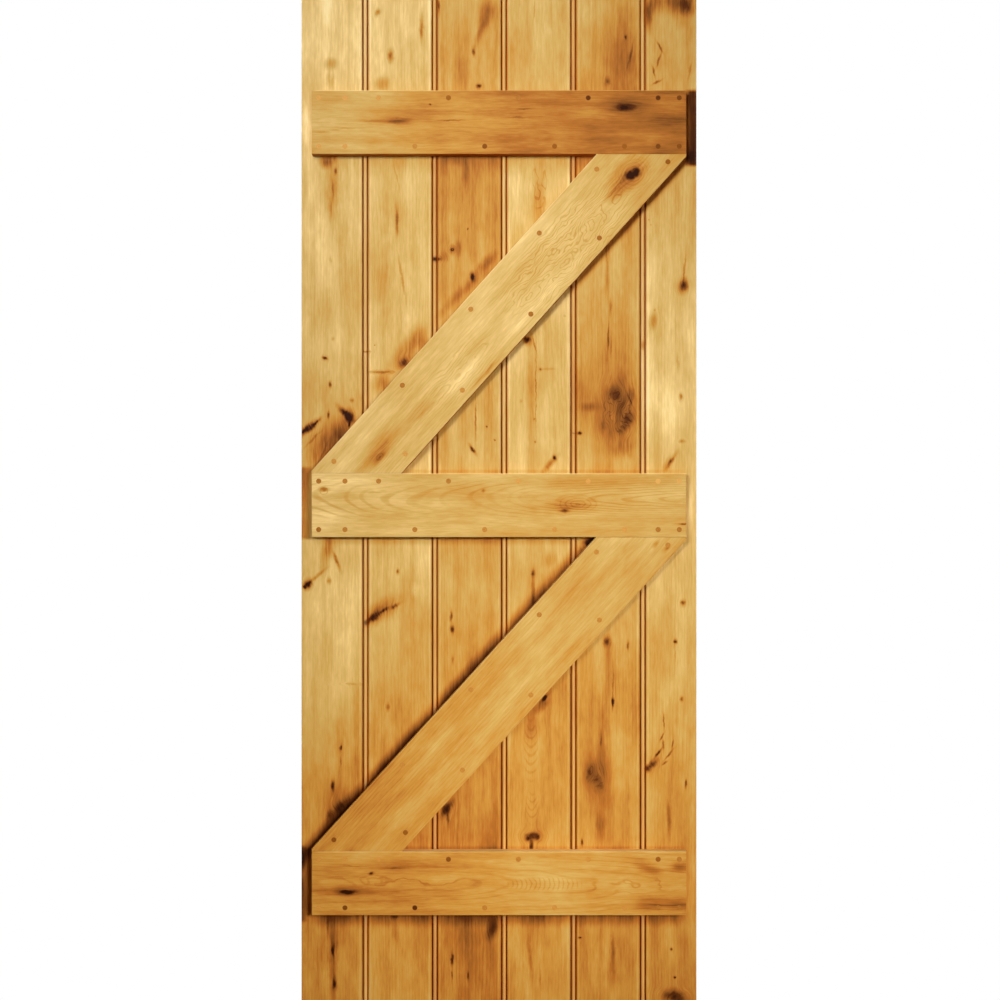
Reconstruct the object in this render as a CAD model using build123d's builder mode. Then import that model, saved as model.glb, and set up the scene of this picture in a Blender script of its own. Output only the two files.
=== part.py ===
from build123d import *
import math
import os

os.makedirs("parts", exist_ok=True)

# Whole door, seen from its ledged side: X to the right, Z up, the boards' ledged face on Y = 0
door_height = 1981.0
door_width = 780.0

# Boards: tongued and grooved, with a bead beside each tongue on both faces
board_thickness = 22.0
first_board_cover = 121.0
last_board_cover = 111.0
inner_board_count = 4
joint_gap = 2.0
bead_radius = 4.0
quirk_width = 2.0
quirk_below_bead = 2.0
tongue_thickness = 7.0
tongue_engagement = 6.0
tongue_side_clearance = 0.15
groove_end_clearance = 1.0
board_arris = 0.8

# Ledges: three rails laid flat across the boards
ledge_thickness = 22.0
ledge_width = 125.0
ledge_end_margin = 22.5
ledge_arris = 1.2
top_ledge_margin = 187.0
bottom_ledge_margin = 176.0
middle_ledge_drop = 5.0

# Braces: each rises from the hinge end of one ledge to the free end of the next
brace_width = 134.0
brace_toe = 5.0
brace_arris = 1.2

# Fixings: a pan-head screw sunk in a bore, with a wooden pellet over its head, each with a few flat sides
pellet_radius = 5.0
pellet_sides = 8
pellet_clearance = 0.05
pellet_depth = 8.0
pellet_seat_gap = 0.1
screw_end_cover = 6.0
screw_head_radius = 4.2
screw_shank_radius = 2.25
screw_head_depth = 3.0
screw_sides = 6
screw_clearance = 0.1
pilot_end_clearance = 0.5
ledge_fixing_row_inset = 15.0
ledge_fixing_side_inset = 33.0
ledge_fixing_end_inset = 14.0
brace_fixing_row_inset = 20.0

# Where the brace fixings fall, as shares of the stretch of each board that the row crosses
brace_upper_row_shares = (0.28, 0.58, 0.56, 0.54, 0.65)
brace_lower_row_shares = (0.40, 0.44, 0.42, 0.40, 0.79)

# Joint lines: the left edge of the door, the gaps between boards, and the right edge
inner_board_cover = (door_width - first_board_cover - last_board_cover) / inner_board_count
left_edge = -door_width / 2
right_edge = door_width / 2
inner_joints = [left_edge + first_board_cover + n * inner_board_cover for n in range(inner_board_count + 1)]
joint_lines = [left_edge, *inner_joints, right_edge]
board_spans = list(zip(joint_lines[:-1], joint_lines[1:]))

# Ledges are placed by their lower edges, the middle one a little below halfway
ledge_left = left_edge + ledge_end_margin
ledge_right = right_edge - ledge_end_margin
ledge_length = ledge_right - ledge_left
top_ledge_height = door_height - top_ledge_margin - ledge_width
bottom_ledge_height = bottom_ledge_margin
middle_ledge_height = (top_ledge_height + bottom_ledge_height) / 2 - middle_ledge_drop

ledge_heights = {
    "top_ledge": top_ledge_height,
    "middle_ledge": middle_ledge_height,
    "bottom_ledge": bottom_ledge_height,
}
brace_feet_and_heads = {
    "upper_brace": (middle_ledge_height + ledge_width, top_ledge_height),
    "lower_brace": (bottom_ledge_height + ledge_width, middle_ledge_height),
}

ledged_face = Plane(origin=(0, -ledge_thickness, 0), x_dir=(1, 0, 0), z_dir=(0, -1, 0))
board_face = Plane(origin=(0, 0, 0), x_dir=(1, 0, 0), z_dir=(0, -1, 0))
screw_face = ledged_face.offset(-pellet_depth)


def ledge_fixings(height):
    """Two fixings in each inner board, set cornerwise, and four in each end board."""
    low = height + ledge_fixing_row_inset
    high = height + ledge_width - ledge_fixing_row_inset
    spots = []
    for left_joint, right_joint in board_spans:
        near = left_joint + ledge_fixing_side_inset
        far = right_joint - ledge_fixing_side_inset
        if left_joint == left_edge:
            near = ledge_left + ledge_fixing_end_inset
        if right_joint == right_edge:
            far = ledge_right - ledge_fixing_end_inset
        spots += [(near, high), (far, low)]
        if left_joint == left_edge or right_joint == right_edge:
            spots += [(near, low), (far, high)]
    return spots


def brace_slope(foot, head):
    """The angle at which a brace of the given width fills the panel from toe to toe."""
    rise = head - foot - 2 * brace_toe
    return math.atan2(rise, ledge_length) + math.asin(brace_width / math.hypot(ledge_length, rise))


def brace_fixings(foot, head):
    """A row of fixings inside each long edge of a brace, one in every board that the row crosses."""
    slope = brace_slope(foot, head)
    drop = brace_fixing_row_inset / math.cos(slope)
    upper_start = ledge_left + (drop - brace_toe) / math.tan(slope)
    lower_start = ledge_right - (head - foot - brace_toe + drop) / math.tan(slope)
    rows = (
        (upper_start, board_spans[:-1], brace_upper_row_shares),
        (lower_start, board_spans[1:], brace_lower_row_shares),
    )
    spots = []
    for start, spans, shares in rows:
        end = start + (head - foot) / math.tan(slope)
        for (left_joint, right_joint), share in zip(spans, shares):
            first = max(left_joint, start)
            last = min(right_joint, end)
            x = first + share * (last - first)
            spots.append((x, foot + (x - start) * math.tan(slope)))
    return spots


fixings = {name: ledge_fixings(height) for name, height in ledge_heights.items()}
fixings |= {name: brace_fixings(*ends) for name, ends in brace_feet_and_heads.items()}
all_fixings = [spot for spots in fixings.values() for spot in spots]

bore_radius = pellet_radius + pellet_clearance
bore_depth = pellet_depth + screw_head_depth
screw_hole_radius = screw_shank_radius + screw_clearance
screw_length = ledge_thickness - pellet_depth + board_thickness - screw_end_cover
pilot_depth = board_thickness - screw_end_cover + pilot_end_clearance

# Boards: the tongue and beads are on the left edge, the groove on the right, and the outer edges are square
middle_depth = board_thickness / 2
tongue_length = joint_gap + tongue_engagement
groove_width = tongue_thickness + 2 * tongue_side_clearance
groove_depth = tongue_engagement + groove_end_clearance
quirk_depth = bead_radius + quirk_below_bead

for number, (left_joint, right_joint) in enumerate(board_spans, start=1):
    tongued = left_joint != left_edge
    grooved = right_joint != right_edge
    left = left_joint + joint_gap / 2 if tongued else left_joint
    right = right_joint - joint_gap / 2 if grooved else right_joint

    with BuildPart() as board:
        with BuildSketch(Plane.XY) as section:
            with Locations(((left + right) / 2, middle_depth)):
                Rectangle(right - left, board_thickness)
            if not tongued:
                chamfer(section.vertices().group_by(Axis.X)[0], length=board_arris)
            chamfer(section.vertices().group_by(Axis.X)[-1], length=board_arris)
            if tongued:
                for face_depth, inward in ((0, 1), (board_thickness, -1)):
                    bead_depth = face_depth + inward * bead_radius
                    quirk_bottom = face_depth + inward * quirk_depth
                    bead_end = left + 2 * bead_radius
                    quirk_end = bead_end + quirk_width
                    with BuildLine():
                        ThreePointArc(
                            (left, bead_depth),
                            (left + bead_radius, face_depth),
                            (bead_end, bead_depth),
                        )
                        Polyline(
                            (bead_end, bead_depth),
                            (bead_end, quirk_bottom),
                            (quirk_end, quirk_bottom),
                            (quirk_end, face_depth - inward * quirk_depth),
                            (left, face_depth - inward * quirk_depth),
                            (left, bead_depth),
                        )
                    make_face(mode=Mode.SUBTRACT)
                with Locations((left - tongue_length / 2, middle_depth)):
                    Rectangle(tongue_length, tongue_thickness)
            if grooved:
                with Locations((right - groove_depth / 2, middle_depth)):
                    Rectangle(groove_depth, groove_width, mode=Mode.SUBTRACT)
        extrude(amount=door_height)
        with BuildSketch(board_face):
            with Locations(*[spot for spot in all_fixings if left_joint < spot[0] < right_joint]):
                RegularPolygon(screw_hole_radius, screw_sides)
        extrude(amount=-pilot_depth, mode=Mode.SUBTRACT)
    board.part.label = f"board_{number}"
    export_step(board.part, f"parts/board_{number}.step")

# One screw: a pan head from the plane Z = 0 down, which bears on the bore's floor, and a straight shank
with BuildPart() as screw:
    with BuildSketch(Plane.XY):
        RegularPolygon(screw_head_radius, screw_sides)
    extrude(amount=-screw_head_depth)
    with BuildSketch(Plane.XY):
        RegularPolygon(screw_shank_radius, screw_sides)
    extrude(amount=-screw_length)

# Ledges and braces share one way of being bored, pelleted and screwed
outlines = {}
for name, height in ledge_heights.items():
    outlines[name] = [
        (ledge_left, height),
        (ledge_right, height),
        (ledge_right, height + ledge_width),
        (ledge_left, height + ledge_width),
    ]
for name, (foot, head) in brace_feet_and_heads.items():
    slope = brace_slope(foot, head)
    run = (head - foot - brace_toe) / math.tan(slope)
    outlines[name] = [
        (ledge_left, foot),
        (ledge_right - run, foot),
        (ledge_right, head - brace_toe),
        (ledge_right, head),
        (ledge_left + run, head),
        (ledge_left, foot + brace_toe),
    ]

for name, outline in outlines.items():
    arris = ledge_arris if name in ledge_heights else brace_arris

    with BuildPart() as rail:
        with BuildSketch(ledged_face):
            with BuildLine():
                Polyline(*outline, close=True)
            make_face()
        extrude(amount=-ledge_thickness)
        chamfer(rail.faces().sort_by(Axis.Y)[0].edges(), length=arris)
        with BuildSketch(ledged_face):
            with Locations(*fixings[name]):
                RegularPolygon(bore_radius, pellet_sides)
        extrude(amount=-bore_depth, mode=Mode.SUBTRACT)
        with BuildSketch(ledged_face):
            with Locations(*fixings[name]):
                RegularPolygon(screw_hole_radius, screw_sides)
        extrude(amount=-ledge_thickness, mode=Mode.SUBTRACT)
    rail.part.label = name
    export_step(rail.part, f"parts/{name}.step")

    with BuildPart() as pellets:
        with BuildSketch(ledged_face):
            with Locations(*fixings[name]):
                RegularPolygon(pellet_radius, pellet_sides)
        extrude(amount=pellet_seat_gap - pellet_depth)
    pellets.part.label = f"{name}_pellets"
    export_step(pellets.part, f"parts/{name}_pellets.step")

    with BuildPart() as screws:
        with Locations(*[screw_face.location * Location((x, z, 0)) for x, z in fixings[name]]):
            add(screw.part)
    screws.part.label = f"{name}_screws"
    export_step(screws.part, f"parts/{name}_screws.step")
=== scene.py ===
import math
import bpy
import numpy as np
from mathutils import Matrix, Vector


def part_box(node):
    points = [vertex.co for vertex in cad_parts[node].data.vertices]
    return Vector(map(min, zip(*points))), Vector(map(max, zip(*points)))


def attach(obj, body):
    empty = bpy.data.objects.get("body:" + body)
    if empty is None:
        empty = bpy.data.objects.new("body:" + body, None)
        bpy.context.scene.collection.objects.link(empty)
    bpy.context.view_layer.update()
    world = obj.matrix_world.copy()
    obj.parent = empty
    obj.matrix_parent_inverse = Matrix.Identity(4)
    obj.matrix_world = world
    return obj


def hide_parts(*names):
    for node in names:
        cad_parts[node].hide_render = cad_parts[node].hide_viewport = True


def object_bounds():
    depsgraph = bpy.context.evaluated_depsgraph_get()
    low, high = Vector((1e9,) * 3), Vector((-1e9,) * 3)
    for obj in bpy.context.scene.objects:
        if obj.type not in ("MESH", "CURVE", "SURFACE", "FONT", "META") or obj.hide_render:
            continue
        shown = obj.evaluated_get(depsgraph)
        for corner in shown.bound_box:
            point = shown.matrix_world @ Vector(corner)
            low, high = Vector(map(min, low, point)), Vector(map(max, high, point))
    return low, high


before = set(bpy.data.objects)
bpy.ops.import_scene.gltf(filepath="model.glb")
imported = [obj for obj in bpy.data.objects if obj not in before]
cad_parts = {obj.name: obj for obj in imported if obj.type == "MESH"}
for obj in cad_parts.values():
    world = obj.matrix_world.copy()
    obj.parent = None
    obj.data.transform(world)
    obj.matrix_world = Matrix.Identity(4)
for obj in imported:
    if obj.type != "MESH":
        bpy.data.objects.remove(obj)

cad_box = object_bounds()

# Boards: six planed oak boards, tongued and grooved into each other, each with a bead and quirk run
# along its tongued edge on both faces. They stand side by side, and only the ledges hold them.
bead_radius = 0.004
bead_steps = 15
quirk_width = 0.002
quirk_depth = 0.006
tongue_length = 0.008
tongue_half = 0.0035
groove_half = 0.00365
groove_depth = 0.007
board_arris = 0.0009
arris_steps = 4
arris_stain = 0.3
stain_depth = 0.004
# Painted highlight: the face is painted paler in these columns beside each joint, by these shares
highlight_columns = np.array([0.003, 0.0065])
highlight_shares = np.array([1.0, 0.0])
face_columns = 14
board_stations = 200
plane_mark = 0.00012
plane_waves = np.array([0.41, 0.23, 0.13])
plane_slant = 9
# Painted highlight: how much of the pale bead colour the tops of the beads take
bead_highlight_share = 0.45

# The picture is square and shows this share of the door's height, from a camera this far from the boards
picture_pixels = 1000
picture_trim = 0.997
camera_distance = 3.0
camera_side = 0.002
camera_height = (cad_box[0].z + cad_box[1].z) / 2
metres_per_pixel = picture_trim * (cad_box[1].z - cad_box[0].z) / picture_pixels


def on_door(across, down, depth):
    """A picture point carried to the plane at the given depth, by similar triangles from the camera."""
    nearer = (camera_distance + depth) / camera_distance * metres_per_pixel
    half = picture_pixels / 2
    return camera_side + (across - half) * nearer, camera_height + (half - down) * nearer


def arc(centre, radius, start, end, steps):
    """Points on a circle: the centre plus the radius times cosine and sine, from start to end in degrees."""
    turn = np.radians(np.linspace(start, end, steps))
    return np.column_stack((centre[0] + radius * np.cos(turn), centre[1] + radius * np.sin(turn)))


def board_section(left, right, depth, tongued, grooved):
    """A board's cross-section, anticlockwise from above: one half from tongue to groove along the ledged
    face, then the same half mirrored in the middle of the thickness. Gives the points, how deep in a joint
    each lies, which are flat, how near each is to the top of a bead, for a painted highlight there, and
    how far its edge takes a painted highlight."""
    middle = depth / 2
    if tongued:
        bead = arc((left + bead_radius, bead_radius), bead_radius, 180, 360, bead_steps)
        face_start = left + 2 * bead_radius + quirk_width
        joint = [
            [[left - tongue_length, middle - tongue_half], [left, middle - tongue_half]],
            bead,
            [[left + 2 * bead_radius, quirk_depth], [face_start, quirk_depth]],
            arc((face_start + board_arris, board_arris), board_arris, 180, 270, arris_steps),
        ]
        near = np.vstack(joint)
    else:
        face_start = left
        near = arc((left + board_arris, board_arris), board_arris, 180, 270, arris_steps)
    far = arc((right - board_arris, board_arris), board_arris, 270, 360, arris_steps)
    if grooved:
        lip = [[right, middle - groove_half], [right - groove_depth, middle - groove_half]]
        far = np.vstack((far, lip))
    first = face_start + board_arris + highlight_columns
    last = right - board_arris - highlight_columns[::-1]
    across = np.concatenate((first, np.linspace(first[-1], last[0], face_columns + 2)[1:-1], last))
    face = np.column_stack((across, np.zeros(len(across))))
    half = np.vstack((near, face, far))
    edge = np.clip(half[:, 1] / stain_depth, arris_stain, 1)
    edge[len(near):-len(far)] = 0
    edge[:len(near)] *= tongued
    edge[-len(far):] *= grooved
    flat = (half[:, 1] == 0) & (half[:, 0] > face_start)
    on_bead = (half[:, 1] <= bead_radius) & (half[:, 0] <= left + 2 * bead_radius) & tongued
    crown = on_bead * (1 - half[:, 1] / bead_radius)
    stain = np.where(on_bead, np.clip(half[:, 1] / stain_depth, 0, 1), edge)
    rubbed = np.zeros(len(half))
    rubbed[len(near):len(near) + len(first)] = highlight_shares * tongued
    rubbed[-len(far) - len(last):-len(far)] = highlight_shares[::-1] * grooved
    other = half[::-1] * (1, -1) + (0, depth)
    both = [np.append(values, values[::-1]) for values in (stain, flat, crown, rubbed)]
    return np.vstack((half, other)), *both


def new_piece(name, points, faces, **point_values):
    """A mesh in the scene, from its points and the order of the points round each face, with a number kept
    on every point under each given label."""
    mesh = bpy.data.meshes.new(name)
    mesh.from_pydata(points.reshape(-1, 3).tolist(), [], faces)
    for label, values in point_values.items():
        mesh.attributes.new(label, "FLOAT", "POINT").data.foreach_set("value", np.ravel(values))
    piece = bpy.data.objects.new(name, mesh)
    bpy.context.scene.collection.objects.link(piece)
    return piece


def skin(name, rings, **point_values):
    """A closed mesh over a stack of rings: a four-sided face between each two neighbours on two rings,
    and one many-sided face over the first ring and over the last."""
    count, around = rings.shape[:2]
    index = np.arange(count * around).reshape(count, around)
    ahead = np.roll(index, -1, axis=1)
    sides = np.stack((index[:-1], ahead[:-1], ahead[1:], index[1:]), axis=-1).reshape(-1, 4)
    ends = [index[0, ::-1].tolist(), index[-1].tolist()]
    return new_piece(name, rings, sides.tolist() + ends, **point_values)


def planed(across, along, seed):
    """How far below a flat face the plane has cut: three slow waves along the board with slanted crests,
    added and brought between nothing and one plane mark."""
    draw = np.random.default_rng(seed)
    turn = draw.uniform(0, 2 * math.pi, len(plane_waves))
    slant = draw.uniform(-plane_slant, plane_slant, len(plane_waves))
    wave = along[..., None] * 2 * math.pi / plane_waves + across[..., None] * slant + turn
    return plane_mark * (1 + np.sin(wave).mean(axis=-1)) / 2


def blank_finish(name):
    """A new material with nothing in its node tree. Gives both."""
    material = bpy.data.materials.new(name)
    material.use_nodes = True
    material.node_tree.nodes.clear()
    return material, material.node_tree


def step(tree, kind, sockets, output=0, **settings):
    """Adds one shader node, makes its settings and fills its sockets, by a link where the value is another
    node's output. Gives back one of its outputs."""
    node = tree.nodes.new("ShaderNode" + kind)
    for key, setting in settings.items():
        setattr(node, key, setting)
    for key, value in sockets.items():
        if isinstance(value, bpy.types.NodeSocket):
            tree.links.new(value, node.inputs[key])
        else:
            node.inputs[key].default_value = value
    return node.outputs[output] if node.outputs else node


def sum_of(tree, operation, *values):
    """One Math node on the given values."""
    return step(tree, "Math", dict(enumerate(values)), operation=operation)


def fade(tree, value, start, end, first, last):
    """A smooth change from first to last as the value goes from start to end."""
    sockets = {0: value, 1: start, 2: end, 3: first, 4: last}
    return step(tree, "MapRange", sockets, interpolation_type="SMOOTHSTEP")


def spread(tree, value, start, end, first, last):
    """An even change from first to last as the value goes from start to end."""
    return step(tree, "MapRange", {0: value, 1: start, 2: end, 3: first, 4: last})


lump_roughness = 0.6


def cloud(tree, place, sizes, detail, output=0):
    """Noise whose lumps have the given sizes in millimetres across, into and along the grain."""
    scaled = step(tree, "Mapping", {"Vector": place, "Scale": [1 / size for size in sizes]})
    sockets = {"Vector": scaled, "Scale": 1.0, "Detail": detail, "Roughness": lump_roughness}
    return step(tree, "TexNoise", sockets, output)


def painted(red, green, blue):
    """A colour as seen on screen, from 0 to 255, made linear."""
    shade = np.array([red, green, blue]) / 255
    linear = np.where(shade <= 0.04045, shade / 12.92, ((shade + 0.055) / 1.055) ** 2.4)
    return (*linear.tolist(), 1.0)


oak_colours = [
    (0.00, painted(248, 226, 166)),
    (0.10, painted(240, 210, 142)),
    (0.20, painted(224, 191, 123)),
    (0.36, painted(206, 169, 95)),
    (0.54, painted(199, 145, 64)),
    (0.72, painted(178, 110, 43)),
    (0.88, painted(140, 85, 34)),
    (1.05, painted(95, 49, 14)),
    (1.30, painted(48, 18, 2)),
]
darkest_tone = oak_colours[-1][0]
# Colour of staining in the board joints and on end grain, and of painted shade on the rails
stain_and_shade_colour = painted(175, 80, 2)
# Colour of the painted highlight on the beads
bead_highlight_colour = painted(234, 186, 118)
# How much paler a painted highlight makes an edge
highlight_tone = -0.13

# Patterns are worked out in millimetres. For each noise in the wood: the size of its lumps across, into
# and along the grain, and its detail
millimetres = 1000
wander = 7.0
wander_noise = (70, 70, 420), 3.0
ragged_edge = 3.5
ragged_noise = (10, 10, 15), 5.0
bow_noise = (120, 120, 200), 2.0
swirl_noise = (60, 60, 95), 3.0
line_noise = (60, 60, 260), 2.0
pore_noise = (3, 3, 26), 3.0
streak_noise = (24, 24, 330), 2.0
blotch_noise = (55, 55, 130), 3.0
halo_noise = (6, 6, 50), 3.0
noise_range = (0.2, 0.8)
streak_range = (0.25, 0.75)
halo_range = (0.3, 0.7)
core_range = (0.30, 0.64)
gloss_range = (0.3, 0.7)
seed_shift = np.array([317.0, 91.0, 733.0])
streak_shift = np.array([53.0, 0.0, 71.0])

# How far each noise moves the tone, and how much of a mark's halo and core it lets show
pore_tones = (-0.085, 0.085)
blotch_tones = (-0.16, 0.16)
streak_tones = (-0.07, 0.09)
halo_shares = (0.85, 1.4)
core_shares = (0.4, 1.0)

# Marks fade out at these shares of their half widths and half lengths. In millimetres, painted shadows
# reach this deep into the face, and cores wider than this push the grain aside.
halo_across = 0.30
halo_along = 0.13
core_fade = (0.15, 1.45)
pushing_width = 3.5
push_share = 0.6
push_fade = (0.4, 3.2)
shadow_end_fade = (0.88, 1.0)
shadow_depth_fade = (4.0, 10.0)
swirl_fade = (0.2, 1.0)
swirl_line_fade = (0.3, 1.0)
ripple_fade = (0.25, 1.0)
ripple_line = (0.1, 1.0)

# Growth rings: bands of a few rings, and the part of each wave that is late wood
band_width = 18.0
band_turn = 5.0
band_shift = 7.3
band_roughness = 0.7
late_wood_line = (0.4, 1.0)
line_fade = (0.36, 0.6)
faintest_line = 0.25
figure_fade = 0.6
past_figure = 0.15

# Finish: wax with hardly any gloss, a little rougher at the pores
oak_roughness = (0.45, 0.62)
oak_specular = 0.05
pore_relief = 0.15
pore_depth = 0.0005


def set_stops(ramp, stops):
    """Puts the stops of a colour ramp at the given places, in order."""
    while len(ramp.elements) < len(stops):
        ramp.elements.new(0.5)
    for element, (place, colour) in zip(ramp.elements, stops):
        element.position = place
        element.color = colour


def oak(name, grain, centre, reach, seed, look):
    """Planed and waxed oak. Grain runs at an angle to the level in the door's plane. The growth rings are
    circles about a pith line that leans, so their distance from it, stirred by slow noise and pushed aside
    by knots, gives straight grain far from it and arches near it. The look gives how dark the piece is
    along its grain, and its marks, painted shadows, swirls and ripples. Staining and painted shade, and
    painted highlights, are read from the piece's points."""
    material, tree = blank_finish(name)
    turn = grain - math.pi / 2
    cosine = math.cos(turn)
    sine = math.sin(turn)

    def along_grain(x, z):
        """A place on the door as millimetres across and along this piece's grain from its centre."""
        side = (x - centre[0]) * millimetres
        rise = (z - centre[2]) * millimetres
        return side * cosine + rise * sine, rise * cosine - side * sine

    def axes_of(across, along, x, z, half_width, half_length, lean=0):
        """How far points lie from a place: in half widths across its lean and half lengths along it."""
        side, rise = along_grain(x, z)
        upright = math.cos(math.radians(lean))
        tilted = math.sin(math.radians(lean))
        off_side = (rise * tilted - side * upright) / half_width
        off_end = -(rise * upright + side * tilted) / half_length
        if lean:
            off_side = sum_of(tree, "MULTIPLY_ADD", along, -tilted / half_width, off_side)
            off_end = sum_of(tree, "MULTIPLY_ADD", across, tilted / half_length, off_end)
        off_side = sum_of(tree, "MULTIPLY_ADD", across, upright / half_width, off_side)
        return off_side, sum_of(tree, "MULTIPLY_ADD", along, upright / half_length, off_end)

    def square_of(value):
        """A value times itself."""
        return sum_of(tree, "MULTIPLY", value, value)

    origin = along_grain(0, 0)
    place = step(tree, "Mapping", {
        "Vector": step(tree, "TexCoord", {}, "Object"),
        "Location": (origin[0], -centre[1] * millimetres, origin[1]),
        "Rotation": (0, turn, 0),
        "Scale": [millimetres] * 3,
    })
    seeded = step(tree, "VectorMath", {0: place, 1: seed * seed_shift}, operation="ADD")
    slow = sum_of(tree, "MULTIPLY_ADD", cloud(tree, seeded, *wander_noise), 2 * wander, -wander)
    lumps = cloud(tree, seeded, *ragged_noise, "Color")
    torn = step(tree, "VectorMath", {0: lumps, 1: (0.5, 0.5, 0.5)}, operation="SUBTRACT")
    torn = step(tree, "VectorMath", {0: torn, 3: 2 * ragged_edge}, operation="SCALE")
    torn = step(tree, "VectorMath", {0: place, 1: torn}, operation="ADD")

    # Marks: a core that is dark, wood around it that is brown or pale, and grain that goes round it
    torn_across = step(tree, "SeparateXYZ", {0: torn}, "X")
    torn_along = step(tree, "SeparateXYZ", {0: torn}, "Z")
    shift = slow
    core = 0.0
    around = 0.0
    for *spot, darkness, halo in look["marks"]:
        off_side, off_end = axes_of(torn_across, torn_along, *spot)
        side_square = square_of(off_side)
        end_square = square_of(off_end)
        if halo:
            drawn_out = sum_of(tree, "MULTIPLY", side_square, halo_across)
            drawn_out = sum_of(tree, "SQRT", sum_of(tree, "MULTIPLY_ADD", end_square, halo_along, drawn_out))
            around = sum_of(tree, "ADD", around, fade(tree, drawn_out, 0.0, 1.0, halo, 0.0))
        if darkness:
            distance = sum_of(tree, "SQRT", sum_of(tree, "ADD", side_square, end_square))
            core = sum_of(tree, "MAXIMUM", core, fade(tree, distance, *core_fade, darkness, 0.0))
            if spot[2] > pushing_width:
                push = fade(tree, distance, *push_fade, -push_share * spot[2], 0.0)
                shift = sum_of(tree, "MULTIPLY_ADD", off_side, push, shift)

    # Painted shadows: straight strips of painted shade on the ledged face, darkest along the middle
    across = step(tree, "SeparateXYZ", {0: place}, "X")
    into = step(tree, "SeparateXYZ", {0: place}, "Y")
    along = step(tree, "SeparateXYZ", {0: place}, "Z")
    painted_shadow = 0.0
    for *spot, darkness in look["painted_shadow"]:
        off_side, off_end = axes_of(across, along, *spot)
        share = fade(tree, sum_of(tree, "ABSOLUTE", off_side), 0.0, 1.0, darkness, 0.0)
        length = fade(tree, sum_of(tree, "ABSOLUTE", off_end), *shadow_end_fade, 1.0, 0.0)
        painted_shadow = sum_of(tree, "MULTIPLY_ADD", share, length, painted_shadow)

    # Growth rings: how far each point lies from the pith line
    side, depth, lean = look["pith"]
    curl = look["curl"]
    sideways = sum_of(tree, "ADD", across, shift)
    from_side = sum_of(tree, "SUBTRACT", sideways, side)
    bow = cloud(tree, seeded, *bow_noise)
    from_face = sum_of(tree, "MULTIPLY_ADD", along, lean, sum_of(tree, "ADD", into, depth - curl))
    from_face = sum_of(tree, "MULTIPLY_ADD", bow, 2 * curl, from_face)
    ring = sum_of(tree, "SQRT", sum_of(tree, "MULTIPLY_ADD", from_face, from_face, square_of(from_side)))
    line_darkness = 0.0
    for *spot, amount, darkness in look.get("swirls", []):
        off_side, off_end = axes_of(across, along, *spot)
        distance = sum_of(tree, "MULTIPLY_ADD", off_side, off_side, square_of(off_end))
        share = fade(tree, distance, *swirl_fade, amount, 0.0)
        stirred = sum_of(tree, "SUBTRACT", cloud(tree, seeded, *swirl_noise), 0.5)
        ring = sum_of(tree, "MULTIPLY_ADD", stirred, share, ring)
        more = fade(tree, distance, *swirl_line_fade, darkness, 0.0)
        line_darkness = sum_of(tree, "ADD", line_darkness, more)

    # Late wood: a thin dark line on each ring, which comes and goes along the piece
    spacing, strength, figure_reach = look["rings"]
    bands = step(tree, "TexNoise", {
        "W": sum_of(tree, "MULTIPLY_ADD", ring, 1 / band_width, seed * band_shift),
        "Scale": 1.0,
        "Detail": 4.0,
        "Roughness": band_roughness,
    }, noise_dimensions="1D")
    wave = sum_of(tree, "MULTIPLY", ring, 2 * math.pi / spacing)
    wave = sum_of(tree, "MULTIPLY_ADD", bands, band_turn, wave)
    presence = fade(tree, cloud(tree, seeded, *line_noise), *line_fade, faintest_line * strength, strength)
    off_pith = sum_of(tree, "ABSOLUTE", from_side)
    near_pith = fade(tree, off_pith, figure_fade * figure_reach, figure_reach, 1.0, past_figure)
    line_darkness = sum_of(tree, "MULTIPLY_ADD", presence, near_pith, line_darkness)
    late_wood = fade(tree, sum_of(tree, "SINE", wave), *late_wood_line, 0.0, line_darkness)

    # Ripples: lines at even distances from an eye, which lies on the grain above or below them
    for *spot, eye, squeeze, gap, darkness in look.get("ripples", []):
        off_side, off_end = axes_of(torn_across, torn_along, *spot)
        end_square = square_of(sum_of(tree, "MULTIPLY_ADD", off_end, spot[3], -eye))
        from_eye = sum_of(tree, "MULTIPLY", off_side, squeeze * spot[2])
        from_eye = sum_of(tree, "SQRT", sum_of(tree, "MULTIPLY_ADD", from_eye, from_eye, end_square))
        wave = sum_of(tree, "SINE", sum_of(tree, "MULTIPLY", from_eye, 2 * math.pi / gap))
        distance = sum_of(tree, "MULTIPLY_ADD", off_side, off_side, square_of(off_end))
        share = fade(tree, distance, *ripple_fade, darkness, 0.0)
        late_wood = sum_of(tree, "ADD", late_wood, fade(tree, wave, *ripple_line, 0.0, share))

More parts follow.
